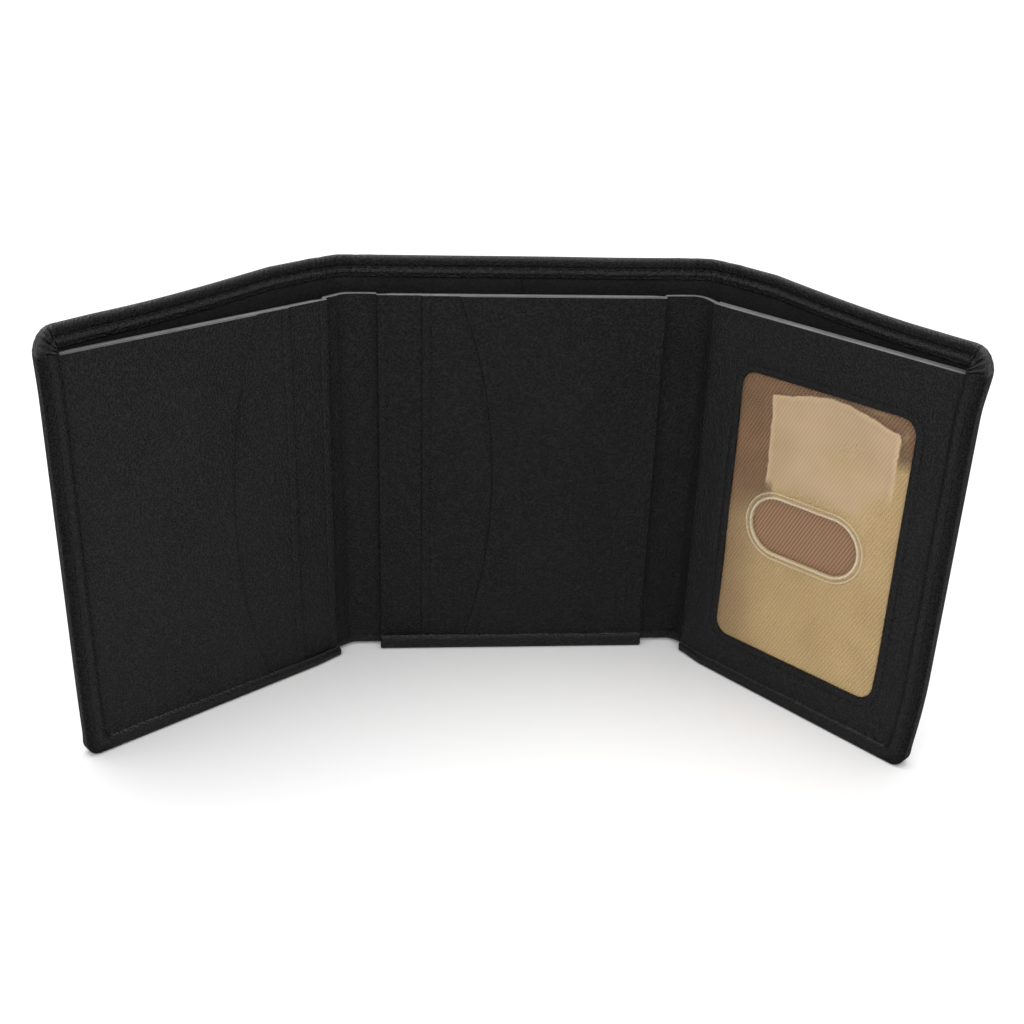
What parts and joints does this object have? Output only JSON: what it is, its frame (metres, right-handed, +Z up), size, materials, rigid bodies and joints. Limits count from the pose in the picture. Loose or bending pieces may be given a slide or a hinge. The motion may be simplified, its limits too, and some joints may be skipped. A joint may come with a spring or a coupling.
{
  "type": "trifold wallet",
  "caption": "Black leather trifold wallet with a bill compartment, card pockets on two panels and a clear identity window on the third, standing part open.",
  "frame": {"origin": "centre of the bounding box, on the surface that the wallet stands on", "axes": "+X along the centre panel, from the card flap to the window flap; +Y from the pocket side to the outer shell; +Z up, from the sewn bottom edges to the open top"},
  "size_m": [0.2106, 0.0692, 0.11],
  "materials": {
    "black_leather": "fine-grained black leather, matte",
    "black_fabric": "plain-woven black lining fabric",
    "brown_twill": "fine brown twill lining",
    "clear_vinyl": "clear soft vinyl with a slight warm haze"
  },
  "bodies": {
    "centre_panel": {"centre_pocket_front": "black_leather", "centre_pocket_front_fabric": "black_fabric", "centre_pocket_middle": "black_leather", "centre_pocket_middle_fabric": "black_fabric", "centre_pocket_base": "black_leather", "centre_bill_divider": "black_fabric", "centre_shell": "black_leather", "centre_shell_lining": "black_fabric"},
    "left_flap": {"left_pocket_front": "black_leather", "left_pocket_front_fabric": "black_fabric", "left_pocket_middle": "black_leather", "left_pocket_middle_fabric": "black_fabric", "left_pocket_base": "black_leather", "left_bill_divider": "black_fabric", "left_shell": "black_leather", "left_shell_lining": "black_fabric", "left_gusset": "black_leather", "left_shell_fold": "black_leather"},
    "right_flap": {"id_window_frame": "black_leather", "id_window_vinyl": "clear_vinyl", "id_window_slot_rim": "clear_vinyl", "id_pocket_lining": "brown_twill", "right_pocket_base": "black_leather", "right_bill_divider": "black_fabric", "right_shell": "black_leather", "right_shell_lining": "black_fabric", "right_gusset": "black_leather", "right_shell_fold": "black_leather"}
  },
  "joints": [
    {"name": "left_fold", "type": "hinge", "parent": "centre_panel", "child": "left_flap", "pos_m": [-0.03807, 0.02327, 0.051], "axis": [0, 0, 1], "range_deg": [-37.8, 142.2], "deforming": ["left_gusset", "left_shell_fold"]},
    {"name": "right_fold", "type": "hinge", "parent": "centre_panel", "child": "right_flap", "pos_m": [0.04779, 0.01802, 0.051], "axis": [0, 0, -1], "range_deg": [-49.3, 129.7], "deforming": ["right_gusset", "right_shell_fold"]}
  ]
}
